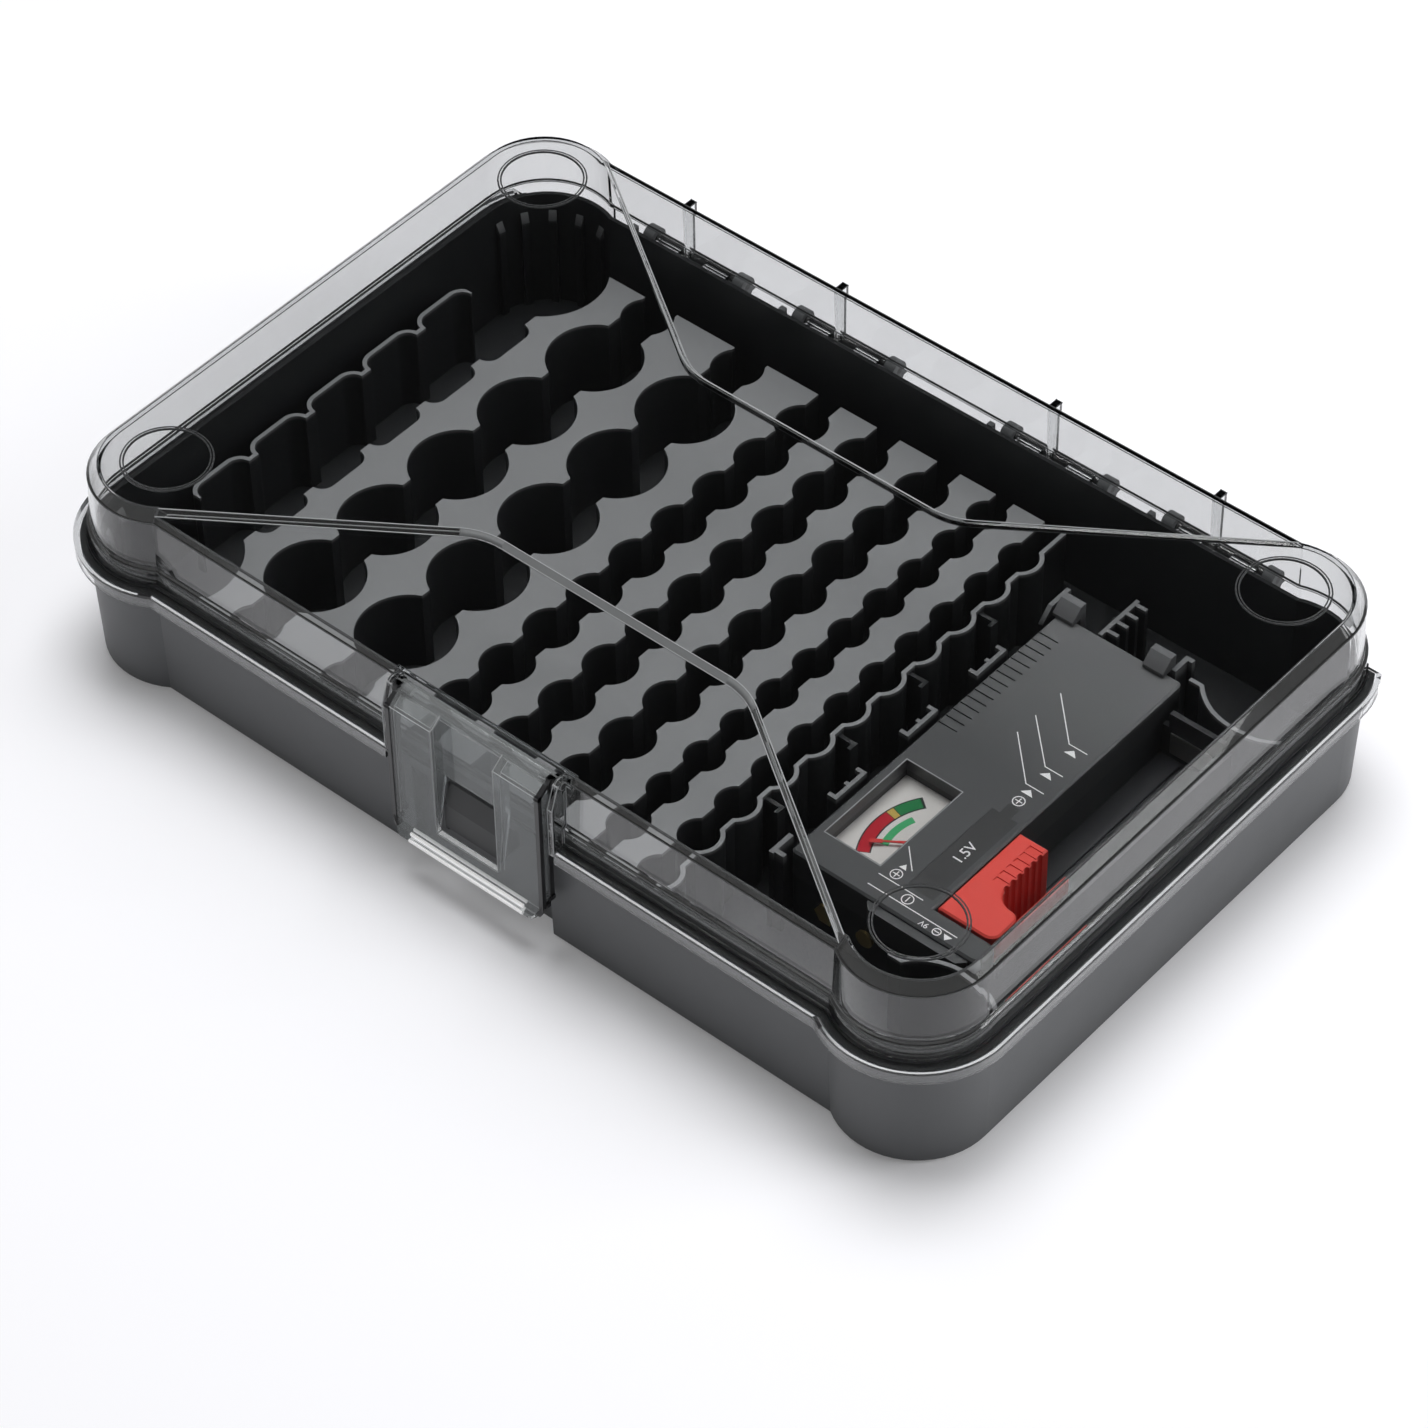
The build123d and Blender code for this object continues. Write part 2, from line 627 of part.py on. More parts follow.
screw_places = [
    (tester_x + screw_in, tester_y + 0.46 * tester_long),
    (trough_x - screw_in, tester_y + 0.68 * tester_long),
    (tester_x + screw_in, tester_back - 2 * screw_in),
]
for x, y in screw_places:
    housing += Pos(x, y, (tester_foot_z + seam_z) / 2) * Cylinder(3.4, seam_z - tester_foot_z)
    housing -= Pos(x, y, tester_foot_z) * Cylinder(2.7, 3.2)
    housing -= Pos(x, y, 12) * Cylinder(1.3, 20)
save("tester_housing", housing)

nose = block(
    trough_x - nose_wide, right_x - 2 * shell_wall, tester_y - nose_out, tester_y + 2 * shell_wall,
    seam_z, tester_top_z - tester_round,
)
cover_plan = panel_box + front_box
cover = extrude(Pos(0, 0, seam_z) * cover_plan, cover_deep)
top_edges = cover.faces().sort_by(Axis.Z)[-1].edges()
cover = chamfer(top_edges, tester_round / 2)
cover -= block(
    tester_x + shell_wall, trough_x - shell_wall, tester_y + shell_wall, tester_back - shell_wall,
    seam_z - 1, tester_top_z - shell_wall,
)
meter_x = tester_x + meter_in_x
meter_y = tester_y + meter_in_y
needle_x = tester_x + needle_in_x
well_x0, well_x1 = meter_x - meter_wide / 2, meter_x + meter_wide / 2
well_y0, well_y1 = meter_y - meter_long / 2, meter_y + meter_long / 2
window_z = dial_z + 2.2
cover += block(well_x0 - 1.2, well_x1 + 1.2, well_y0 - 1.2, well_y1 + 1.2, window_z + 0.8, tester_top_z - 1)
cover -= block(well_x0, well_x1, well_y0, well_y1, 0, 100)
for i in range(groove_count):
    y = tester_back - groove_end - groove_pitch * i
    cover -= block(
        tester_x - 1, tester_x + groove_long, y - groove_wide / 2, y + groove_wide / 2,
        tester_top_z - groove_wide, 100,
    )
inlay_z = tester_top_z - inlay_deep
inlay_x = tester_x + inlay_in_x
inlay_y = tester_y + inlay_in_y
strip = block(inlay_x, inlay_x + inlay_wide, inlay_y, inlay_y + inlay_long, inlay_z, 100)
strip += block(
    inlay_x + inlay_step, inlay_x + inlay_wide - inlay_step, inlay_y + inlay_long - 1,
    inlay_y + inlay_long + inlay_step_long, inlay_z, 100,
)
cover -= strip
for x, y in screw_places:
    cover += Pos(x, y, (seam_z + tester_top_z - 1) / 2) * Cylinder(2.6, tester_top_z - 1 - seam_z)
    cover -= Pos(x, y, seam_z) * Cylinder(1.0, 10)
cover += chamfer(nose.edges().filter_by(Axis.Z), 2.0) - cover
save("tester_cover", cover)
level = block(tester_x, right_x, tester_y, tester_back, inlay_z, tester_top_z - inlay_deep / 6)
inlay = strip & level
save("cover_inlay", inlay)

screws = []
for x, y in screw_places:
    head = Pos(x, y, tester_foot_z + 0.9) * Cylinder(2.5, 1.4)
    screws.append(head + Pos(x, y, tester_foot_z + 9) * Cylinder(1.0, 15))
save("tester_screws", Compound(screws))

# meter: a can under the cover with a printed dial, a clear window and a moving coil
can_x0, can_x1 = well_x0 - 1.5 * can_wall, needle_x + can_past_needle
can_y0, can_y1 = well_y0 - 1.5 * can_wall, well_y1 + 1.5 * can_wall
can_floor_z = dial_z - can_deep + can_wall
can = block(can_x0, can_x1, can_y0, can_y1, dial_z - can_deep, window_z)
can -= block(can_x0 + can_wall, can_x1 - can_wall, can_y0 + can_wall, can_y1 - can_wall, can_floor_z, 100)
save("meter_can", can)
dial = block(can_x0 + can_wall, needle_x - 3.2, can_y0 + can_wall, can_y1 - can_wall, dial_z - 0.6, dial_z)
save("dial_plate", dial)
window = block(can_x0, well_x1 + 1.5 * can_wall, can_y0, can_y1, window_z, window_z + window_thick)
save("meter_window", window)
magnet_r, coil_r, magnet_high = 3.4, 3.0, 5.0
magnet_z = can_floor_z + magnet_high / 2
magnet_side = 2 * (can_past_needle - can_wall) - 0.4
magnet = Box(magnet_side, magnet_side, magnet_high) - Cylinder(magnet_r, magnet_high)
magnet = Pos(needle_x, meter_y, magnet_z) * magnet
save("meter_magnet", magnet)

hub_z = dial_z + 1.2
flag_in, flag_half = needle_long - 3.4, 0.6
needle_plan = Polyline(
    (-2.5, -0.7), (2.0, -0.5), (flag_in, -0.2), (flag_in, -flag_half), (needle_long, -flag_half),
    (needle_long, flag_half), (flag_in, flag_half), (flag_in, 0.2), (2.0, 0.5), (-2.5, 0.7), close=True,
)
needle = extrude(Pos(0, 0, hub_z - 0.15) * make_face(needle_plan), 0.3)
needle += Pos(0, 0, hub_z) * Cylinder(1.3, 0.8)
save("meter_needle", Pos(needle_x, meter_y) * Rot(0, 0, needle_turn) * needle)
spindle_high = hub_z - 0.4
coil_high = magnet_high - 1
coil = Pos(needle_x, meter_y, magnet_z) * (Cylinder(coil_r, coil_high) - Cylinder(coil_r - 0.6, coil_high))
coil += Pos(needle_x, meter_y, magnet_z) * Box(2 * coil_r - 0.6, 1.2, coil_high)
coil += Pos(needle_x, meter_y, (magnet_z + spindle_high) / 2) * Cylinder(0.6, spindle_high - magnet_z)
save("moving_coil", coil)

resistor_r, resistor_long = 1.8, 9.0
resistor_y = tester_y + 0.64 * tester_long
resistor = Pos(meter_x, resistor_y, tester_foot_z + shell_wall + resistor_r)
resistor *= Rot(0, 90, 0) * Cylinder(resistor_r, resistor_long)
save("load_resistor", resistor)

# contacts
far_contact = block(trough_x + 3, right_x - 4, trough_end_y - shell_wall - 0.5,
                    trough_end_y - shell_wall, trough_floor_z + 2, trough_floor_z + 9)
save("end_contact", far_contact)
nine = [
    Pos(meter_x, tester_y - 0.4, 12.5) * Rot(90, 0, 0) * extrude(RegularPolygon(3.4, 6), 0.4, both=True),
    Pos(meter_x + 12.7, tester_y - 0.4, 12.5) * Rot(90, 0, 0) * Cylinder(2.6, 0.8),
]
save("nine_volt_contacts", Compound(nine))

# red slider
slide_x = trough_x + 0.4
slide_low = trough_floor_z + 0.3
slide_high = tester_top_z - 0.2
plan = Pos(slide_x + slider_wide / 2, slider_y + slider_long / 2) * Rectangle(slider_wide, slider_long)
foot_x1 = right_x - shell_wall - 0.3
foot = Pos((slide_x + foot_x1) / 2, slider_y + slider_foot / 2) * Rectangle(foot_x1 - slide_x, slider_foot)
plan += foot
inside = [v for v in plan.vertices() if abs(v.X - slide_x - slider_wide) < 0.1
          and abs(v.Y - slider_y - slider_foot) < 0.1]
plan = fillet(inside, 5.5)
outside = [v for v in plan.vertices() if abs(v.X - foot_x1) < 0.1]
plan = fillet(outside, 3.0)
slider = extrude(Pos(0, 0, slide_low) * plan, slide_high - slide_low)
slider = chamfer(slider.faces().sort_by(Axis.Z)[-1].edges(), 0.5)
fin_x = foot_x1 - 0.9
slider += block(fin_x, foot_x1, slider_y + slider_foot - 5, slider_y + slider_foot + 19, slide_low,
                slide_high - 2.2)
for i in range(grip_count):
    y = slider_y + slider_long - grip_first - grip_pitch * i
    slider -= Pos(slide_x + slider_wide + 0.5, y, 0) * Cylinder(grip_r, 80)
    mark_x = slide_x + slider_wide - grip_long
    slider -= block(mark_x, slide_x + slider_wide, y + grip_r, y + grip_r + 0.4, slide_high - 0.35, 100)
    slider -= block(mark_x, mark_x + 0.4, y - 0.1, y + grip_r, slide_high - 0.35, 100)
save("slider", slider)
save("slider_contact", block(slide_x + 1.2, slide_x + slider_wide - 1.2, slider_y + slider_long,
                             slider_y + slider_long + 0.4, 12, 22))
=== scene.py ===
import json
import math

import bmesh
import bpy
from mathutils import Matrix, Vector


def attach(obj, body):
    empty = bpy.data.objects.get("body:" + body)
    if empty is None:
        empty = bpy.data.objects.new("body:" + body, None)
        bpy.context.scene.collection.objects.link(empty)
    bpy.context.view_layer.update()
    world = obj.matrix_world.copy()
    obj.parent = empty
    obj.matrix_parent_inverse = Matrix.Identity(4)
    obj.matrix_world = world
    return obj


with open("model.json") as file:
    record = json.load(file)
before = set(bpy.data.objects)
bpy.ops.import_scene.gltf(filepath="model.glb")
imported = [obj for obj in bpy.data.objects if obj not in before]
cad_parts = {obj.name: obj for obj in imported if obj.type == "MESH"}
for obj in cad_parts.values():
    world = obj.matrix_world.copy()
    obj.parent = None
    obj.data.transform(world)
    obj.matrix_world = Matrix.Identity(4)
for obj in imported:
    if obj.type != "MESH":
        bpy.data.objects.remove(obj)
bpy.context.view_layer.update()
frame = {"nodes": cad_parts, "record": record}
nodes = frame["nodes"]
print("frame loaded:", len(nodes), "nodes")

mm = 0.001


camera = {  # as fitted to the photograph, in mm and degrees
    "lens": 132.19,
    "target": (20.92, -26.49, 28.42),
    "distance": 1349.2,
    "azimuth": 41.086,
    "elevation": 45.872,
    "roll": -0.841,
}


def placeCamera(values):
    az, el, roll = (math.radians(values[k]) for k in ("azimuth", "elevation", "roll"))
    forward = Vector((-math.sin(az) * math.cos(el), math.cos(az) * math.cos(el), -math.sin(el)))
    right = Vector((math.cos(az), math.sin(az), 0))
    up = right.cross(forward)
    camRight = right * math.cos(roll) + up * math.sin(roll)
    camUp = -right * math.sin(roll) + up * math.cos(roll)
    data = bpy.data.cameras.new("photoCamera")
    data.lens = values["lens"]
    data.sensor_width = 36
    data.clip_end = 20
    cam = bpy.data.objects.new("photoCamera", data)
    bpy.context.scene.collection.objects.link(cam)
    turn = Matrix((camRight, camUp, -forward)).transposed().to_4x4()
    place = (Vector(values["target"]) - forward * values["distance"]) * mm
    cam.matrix_world = Matrix.Translation(place) @ turn
    bpy.context.scene.camera = cam


placeCamera(camera)
print("camera placed")


def newMaterial(name):
    mat = bpy.data.materials.new(name)
    mat.use_nodes = True
    tree = mat.node_tree
    shader = tree.nodes["Principled BSDF"]
    return mat, tree, shader


def addNode(tree, kind, **values):
    node = tree.nodes.new(kind)
    for key, value in values.items():
        if key in node.inputs:
            node.inputs[key].default_value = value
        else:
            setattr(node, key, value)
    return node


def objectNoise(tree, scale, detail=2.0):
    place = addNode(tree, "ShaderNodeTexCoord")
    noise = addNode(tree, "ShaderNodeTexNoise", Scale=scale, Detail=detail)
    tree.links.new(place.outputs["Object"], noise.inputs["Vector"])
    return noise


def remap(tree, source, low, high):
    node = addNode(tree, "ShaderNodeMapRange")
    node.inputs["To Min"].default_value = low
    node.inputs["To Max"].default_value = high
    tree.links.new(source, node.inputs["Value"])
    return node.outputs["Result"]


def objectAxes(tree):
    place = addNode(tree, "ShaderNodeTexCoord")
    split = addNode(tree, "ShaderNodeSeparateXYZ")
    tree.links.new(place.outputs["Object"], split.inputs[0])
    return split.outputs


def blendColors(tree, factor, low, high):
    mix = addNode(tree, "ShaderNodeMix", data_type="RGBA")
    for socket, color in ((mix.inputs[6], low), (mix.inputs[7], high)):
        if isinstance(color, (tuple, list)):
            socket.default_value = (*color, 1)
        else:
            tree.links.new(color, socket)
    tree.links.new(factor, mix.inputs[0])
    return mix.outputs[2]


def mouldedPlastic(name, color, rough=0.42, grain=0.06, vary=0.08, grainScale=2600):
    # injection moulding: spark-eroded grain, slow drift in shade and gloss
    mat, tree, shader = newMaterial(name)
    drift = objectNoise(tree, 28, 3)
    low, high = ([c * share for c in color] for share in (1 - vary, 1 + vary))
    tree.links.new(blendColors(tree, drift.outputs["Fac"], low, high), shader.inputs["Base Color"])
    patch = objectNoise(tree, 90, 4)
    gloss = remap(tree, patch.outputs["Fac"], rough - 0.05, rough + 0.05)
    tree.links.new(gloss, shader.inputs["Roughness"])
    fine = objectNoise(tree, grainScale, 2)
    bump = addNode(tree, "ShaderNodeBump", Strength=grain, Distance=0.0002)
    tree.links.new(fine.outputs["Fac"], bump.inputs["Height"])
    tree.links.new(bump.outputs["Normal"], shader.inputs["Normal"])
    return mat


def smoothPlastic(name, color, **more):
    return mouldedPlastic(name, color, grain=0.0, **more)


def calc(tree, kind, first, second):
    # one math node; a socket is linked, a number is typed in
    node = addNode(tree, "ShaderNodeMath", operation=kind)
    for place, value in enumerate((first, second)):
        if isinstance(value, (int, float)):
            node.inputs[place].default_value = value
        else:
            tree.links.new(value, node.inputs[place])
    return node.outputs[0]


def shadeBy(tree, shader, factor, dark):
    # the moulding's colour gives way to a dark one where factor is 0
    old = shader.inputs["Base Color"].links[0].from_socket
    tree.links.new(blendColors(tree, factor, dark, old), shader.inputs["Base Color"])


def recessShadedPlastic(name, color, dark, top, fade=1.2 * mm, **grain):
    # painted shade: the moulding's colour darkens just below its top face, where its sides fall into shade
    mat = mouldedPlastic(name, color, **grain)
    tree = mat.node_tree
    start = top - 0.2 * mm
    depth = addNode(tree, "ShaderNodeMapRange")
    depth.inputs["From Min"].default_value = start - fade
    depth.inputs["From Max"].default_value = start
    tree.links.new(objectAxes(tree)["Z"], depth.inputs["Value"])
    shadeBy(tree, tree.nodes["Principled BSDF"], depth.outputs["Result"], dark)
    return mat


def frontShade(mat, dark, low, high, least):
    # painted sheen and shade: the top's colour grows lighter from low to high along Y
    tree = mat.node_tree
    along = addNode(tree, "ShaderNodeMapRange")
    along.inputs["From Min"].default_value = low
    along.inputs["From Max"].default_value = high
    along.inputs["To Min"].default_value = least
    tree.links.new(objectAxes(tree)["Y"], along.inputs["Value"])
    shadeBy(tree, tree.nodes["Principled BSDF"], along.outputs["Result"], dark)


def trayShellShadedPlastic(name, color, dark, rim, **grain):
    # painted shade: outer walls and foot keep the colour, and what faces inwards or stands under the lid is
    # painted dark
    mat = mouldedPlastic(name, color, **grain)
    tree = mat.node_tree
    place = addNode(tree, "ShaderNodeTexCoord")
    flat = addNode(tree, "ShaderNodeVectorMath", operation="MULTIPLY")
    flat.inputs[1].default_value = (1, 1, 0)
    tree.links.new(place.outputs["Object"], flat.inputs[0])
    unit = addNode(tree, "ShaderNodeVectorMath", operation="NORMALIZE")
    tree.links.new(flat.outputs[0], unit.inputs[0])
    facing = addNode(tree, "ShaderNodeVectorMath", operation="DOT_PRODUCT")
    tree.links.new(unit.outputs[0], facing.inputs[0])
    tree.links.new(place.outputs["Normal"], facing.inputs[1])
    lean = addNode(tree, "ShaderNodeSeparateXYZ")
    tree.links.new(place.outputs["Normal"], lean.inputs[0])
    outwards = calc(tree, "GREATER_THAN", facing.outputs["Value"], 0.15)
    underRim = calc(tree, "LESS_THAN", objectAxes(tree)["Z"], rim)
    underside = calc(tree, "LESS_THAN", lean.outputs["Z"], -0.5)
    coloured = calc(tree, "MAXIMUM", calc(tree, "MULTIPLY", outwards, underRim), underside)
    shadeBy(tree, tree.nodes["Principled BSDF"], coloured, dark)
    return mat


def clearPlastic(name, tint, density, ior=1.5, body=(1, 1, 1), clear=1.0):
    # real refraction and tint by depth for what is looked at; lamplight passes straight through
    mat, tree, shader = newMaterial(name)
    shader.inputs["Base Color"].default_value = (*body, 1)
    shader.inputs["Transmission Weight"].default_value = clear
    shader.inputs["IOR"].default_value = ior
    shader.inputs["Specular IOR Level"].default_value = 0.3
    wave = objectNoise(tree, 45, 2)
    tree.links.new(remap(tree, wave.outputs["Fac"], 0.0, 0.012), shader.inputs["Roughness"])
    through = addNode(tree, "ShaderNodeBsdfTransparent", Color=(0.98, 0.98, 0.98, 1))
    light = addNode(tree, "ShaderNodeLightPath")
    lamp = calc(tree, "MAXIMUM", light.outputs["Is Shadow Ray"], light.outputs["Is Diffuse Ray"])
    mix = addNode(tree, "ShaderNodeMixShader")
    tree.links.new(lamp, mix.inputs[0])
    tree.links.new(shader.outputs[0], mix.inputs[1])
    tree.links.new(through.outputs[0], mix.inputs[2])
    tree.links.new(mix.outputs[0], tree.nodes["Material Output"].inputs["Surface"])
    depth = addNode(tree, "ShaderNodeVolumeAbsorption", Density=density)
    depth.inputs["Color"].default_value = (*tint, 1)
    tree.links.new(depth.outputs[0], tree.nodes["Material Output"].inputs["Volume"])
    return mat


def plainMetal(name, color, rough=0.25):
    mat, tree, shader = newMaterial(name)
    shader.inputs["Metallic"].default_value = 1.0
    brush = objectNoise(tree, 900, 3)
    worn = [c * 0.9 for c in color]
    tree.links.new(blendColors(tree, brush.outputs["Fac"], worn, color), shader.inputs["Base Color"])
    gloss = remap(tree, brush.outputs["Fac"], rough - 0.08, rough + 0.1)
    tree.links.new(gloss, shader.inputs["Roughness"])
    return mat


tray = {
    "wall": (0.102, 0.106, 0.110),
    # painted light: the deck is a lit copy of the tray's grey, about twice the wall's
    "deck": (0.210, 0.215, 0.221),
    # painted shade: the catch is the base's plastic, painted near black as it sits in shade behind the latch
    "catch": (0.018, 0.019, 0.020),
    "edge": (0.150, 0.154, 0.158),
    # painted shade: the colour that mouldings fade into below their tops
    "deep": (0.011, 0.012, 0.013),
    "deckTop": 28.4 * mm,
    "rim": 37.4 * mm,
    "cornerTop": 35.4 * mm,
    "clip": (0.14, 0.143, 0.148),
    # painted shade towards the foot of the clips
    "clipFoot": (0.05, 0.05, 0.052),
    "clipTop": 33 * mm,
}
tester = {
    "top": (0.130, 0.133, 0.136),
    # painted shade: the cover's top fades to this darker colour towards the front, over the span in sheen
    "front": (0.040, 0.042, 0.044),
    # the housing's own black, also the painted shade on the cover's sides below its top
    "side": (0.020, 0.021, 0.023),
    "topZ": 28.4 * mm,
    "sheen": (5 * mm, 60 * mm),  # where the top grows lighter, along Y
}
finishes = {
    "tray_plastic": mouldedPlastic("trayPlastic", tray["wall"], rough=0.48),
    "tester_plastic": mouldedPlastic("testerPlastic", tester["side"], rough=0.42, grain=0.1),
    "clip_grey": recessShadedPlastic("clipPlastic", tray["clip"], tray["clipFoot"], tray["clipTop"], 6 * mm),
    "pin_black": mouldedPlastic("pinPlastic", (0.012, 0.012, 0.013), rough=0.3, grain=0.02),
    "inlay_black": mouldedPlastic("inlayPlastic", (0.026, 0.027, 0.028), rough=0.35, grain=0.02),
    "meter_black": mouldedPlastic("meterPlastic", (0.02, 0.02, 0.022), rough=0.5, grain=0.02),
    "lid_clear": clearPlastic("lidPlastic", (0.29, 0.315, 0.32), 118.0),
    "window_clear": clearPlastic("windowPlastic", (0.8, 0.8, 0.8), 20.0),
    "dial_cream": smoothPlastic("dialCard", (0.74, 0.72, 0.70), rough=0.7, vary=0.03),
    "needle_red": smoothPlastic("needlePaint", (0.60, 0.03, 0.03), rough=0.4),
    "slider_red": mouldedPlastic("sliderPlastic", (0.72, 0.070, 0.055), rough=0.36, grain=0.03),
    "contact_steel": plainMetal("contactSteel", (0.30, 0.30, 0.29), rough=0.4),
    "contact_brass": plainMetal("contactBrass", (0.42, 0.32, 0.14), rough=0.4),
    "coil_brass": plainMetal("coilWire", (0.50, 0.22, 0.09), rough=0.35),
    "magnet_iron": mouldedPlastic("magnetIron", (0.07, 0.07, 0.075), rough=0.55, grain=0.2),
    "resistor_tan": smoothPlastic("resistorLacquer", (0.45, 0.33, 0.20), rough=0.35),
    "screw_steel": plainMetal("screwSteel", (0.55, 0.55, 0.56), rough=0.3),
}
# painted shade: cells, rails and posts darken below their tops
cells = recessShadedPlastic("cellPlastic", tray["deck"], tray["deep"], tray["deckTop"], rough=0.45)
railTops = recessShadedPlastic("railPlastic", tray["edge"], tray["deep"], tray["deckTop"] - 1.2 * mm, rough=0.45)
postTops = recessShadedPlastic("postPlastic", tray["edge"], tray["deep"], tray["deckTop"], 3 * mm, rough=0.45)
special = {
    "latch": clearPlastic("latchPlastic", (0.8, 0.8, 0.8), 45.0, 1.22, body=(0.50, 0.52, 0.525), clear=0.82),
    "latch_catch": mouldedPlastic("catchPlastic", tray["catch"], rough=0.5),
    "base_shell": trayShellShadedPlastic("trayShellShadedPlastic", tray["wall"], tray["deep"], tray["rim"], rough=0.48),
    "tester_cover": recessShadedPlastic("coverPlastic", tester["top"], tester["side"], tester["topZ"] - 0.6 * mm,
                                    1.6 * mm, rough=0.42, grain=0.1),
    "corner_ribs": recessShadedPlastic("cornerRibPlastic", tray["edge"], tray["deep"], tray["cornerTop"], 4 * mm),
    "comb_rib": railTops,
    "tester_rails": railTops,
    "tester_posts": postTops,
    "tester_rests": postTops,
}
# painted sheen and shade on the cover's top, darker towards the front
frontShade(special["tester_cover"], tester["front"], *tester["sheen"], 0.10)

slotOf = {part["node"]: part["material_slot"] for part in frame["record"]["subparts"]}
for name, obj in nodes.items():
    finish = special.get(name, finishes[slotOf[name]])
    if name.startswith(("cell_", "big_cell_")):
        finish = cells
    if not obj.material_slots:
        obj.data.materials.append(finish)
    for holder in obj.material_slots:
        holder.material = finish
print("finishes set:", len(finishes) + len(special))


def finishPiece(bm, name, finish, body):
    bmesh.ops.recalc_face_normals(bm, faces=bm.faces)
    mesh = bpy.data.meshes.new(name)
    bm.to_mesh(mesh)
    bm.free()
    mesh.materials.append(finish)
    piece = bpy.data.objects.new(name, mesh)
    bpy.context.scene.collection.objects.link(piece)
    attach(piece, body)


clearEdges = {  # all sizes in mm
    "sharp": math.radians(12),
    "sunk": 0.4,  # how deep a line lies in the plastic, as a share of its width
    "inset": 0.02,
}


def beam(bm, a, b, wide):
    turn = (b - a).to_track_quat("X", "Z").to_matrix().to_4x4()
    size = Matrix.Diagonal(((b - a).length + wide, wide, wide, 1))
    bmesh.ops.create_cube(bm, size=1, matrix=Matrix.Translation((a + b) / 2) @ turn @ size)


def mergedCopy(node):
    bm = bmesh.new()
    bm.from_mesh(nodes[node].data)
    bmesh.ops.remove_doubles(bm, verts=bm.verts, dist=1e-6)
    return bm


def sharpEdges(bm, wanted):
    for edge in bm.edges:
        if len(edge.link_faces) == 2 and edge.calc_face_angle(0) > clearEdges["sharp"]:
            a, b = (v.co.copy() for v in edge.verts)
            if wanted((a + b) / 2 / mm):
                yield edge, a, b


def creaseLines(node, wanted, wide, name, finish, body, reach=200):
    # fine lines of painted shade and painted highlight along a moulding's sharp edges, where wanted(middle in
    # mm) says so
    source = mergedCopy(node)
    lines = bmesh.new()
    for edge, a, b in sharpEdges(source, wanted):
        out = sum((f.normal for f in edge.link_faces), Vector()).normalized()
        for point in (a, b):
            point.x = max(-reach * mm, min(reach * mm, point.x))
            if edge.is_convex:
                point -= out * (wide * clearEdges["sunk"] * mm)
        beam(lines, a, b, wide * mm)
    inset = clearEdges["inset"] * mm
    low, high = (Vector(f(v.co[i] for v in source.verts) for i in range(3)) for f in (min, max))
    for vert in lines.verts:
        vert.co = Vector(max(l + inset, min(h - inset, c)) for c, l, h in zip(vert.co, low, high))
    source.free()
    finishPiece(lines, name, finish, body)


def inRange(value, span):
    return span[0] < value < span[1]


# painted shade and painted highlights: dark lines for shade along edges, pale ones for glints, black ones for
# shadow in gaps
lineFinishes = {
    "shade": smoothPlastic("edgeShade", (0.06, 0.062, 0.064), rough=0.2),
    "glint": smoothPlastic("edgeGlint", (0.36, 0.37, 0.375), rough=0.2),
    "black": smoothPlastic("footShade", (0.012, 0.012, 0.013), rough=0.3),
}
lidEdges = {
    "wide": 0.20,
    "crownZ": 60.4,  # from the bevel under the crown upwards
    "shoulderZ": (44.3, 45.6),
}
lidRings = {
    "wide": 0.34,
    "drum": (126.0, 73.4),  # centre of each corner
    "reach": 13.0,
    "above": 63.6,
}
lidCheeks = {
    "wide": 0.26,
    "x": (26.4, 29.4),
    "z": (40, 61),
    "y": -88,
}
lidFoot = {
    "wide": 0.9,
    "z": (38.9, 39.7),
    "reach": 24.5,
    "frontRim": (110.0, 94.0),  # the flange's front rim, half its length and its Y
}
lidBend = {
    "wide": 0.26,
    "box": (131.0, 87.0),
    "z": (61.9, 63.85),
    "slope": (0.4, 0.95),  # how far the slopes face upwards
    "lift": 0.02,
    "thick": 0.02,
    "sheenFilm": (0.30, 0.31, 0.315),
}


def onRing(at):
    fromDrum = Vector((abs(at.x), abs(at.y))) - Vector(lidRings["drum"])
    return at.z > lidRings["above"] and fromDrum.length < lidRings["reach"]


def onBend(at):
    x, y = lidBend["box"]
    return at.z > lidBend["z"][0] and abs(at.x) < x and abs(at.y) < y and not onRing(at)


def onEdge(at):
    crown = at.z > lidEdges["crownZ"] and not onBend(at) and not onRing(at)
    return crown or inRange(at.z, lidEdges["shoulderZ"])


def onCheek(at):
    # painted highlight lines on the clear cheeks beside the latch
    return inRange(abs(at.x), lidCheeks["x"]) and at.y < lidCheeks["y"] and inRange(at.z, lidCheeks["z"])


def onFoot(at):
    # a black line of painted shadow where the skirt stands on the flange
    x, y = lidRings["drum"]
    out = Vector((max(0, abs(at.x) - x), max(0, abs(at.y) - y))).length
    rimX, rimY = lidFoot["frontRim"]
    onRim = abs(at.x) < rimX and abs(at.y) > rimY
    return inRange(at.z, lidFoot["z"]) and out < lidFoot["reach"] and not onRim


def slopeBand(name, values):
    # a grey film of painted highlight on the slopes between the lid's top and its sunk panels
    bm = mergedCopy("lid_shell")
    off = []
    for face in bm.faces:
        corners = [v.co / mm for v in face.verts]
        inBand = all(inRange(c.z, values["z"]) and abs(c.y) < values["box"][1] for c in corners)
        if not (inBand and inRange(face.normal.z, values["slope"])):
            off.append(face)
    bmesh.ops.delete(bm, geom=off, context="FACES")
    for vert in bm.verts:
        vert.co += vert.normal * values["lift"] * mm
    bmesh.ops.solidify(bm, geom=bm.faces[:], thickness=-values["thick"] * mm)
    sheenFilm = smoothPlastic("bendSheenFilm", values["sheenFilm"], rough=0.3)
    sheenFilm.node_tree.nodes["Principled BSDF"].inputs["Alpha"].default_value = 0.55
    finishPiece(bm, name, sheenFilm, "lid")


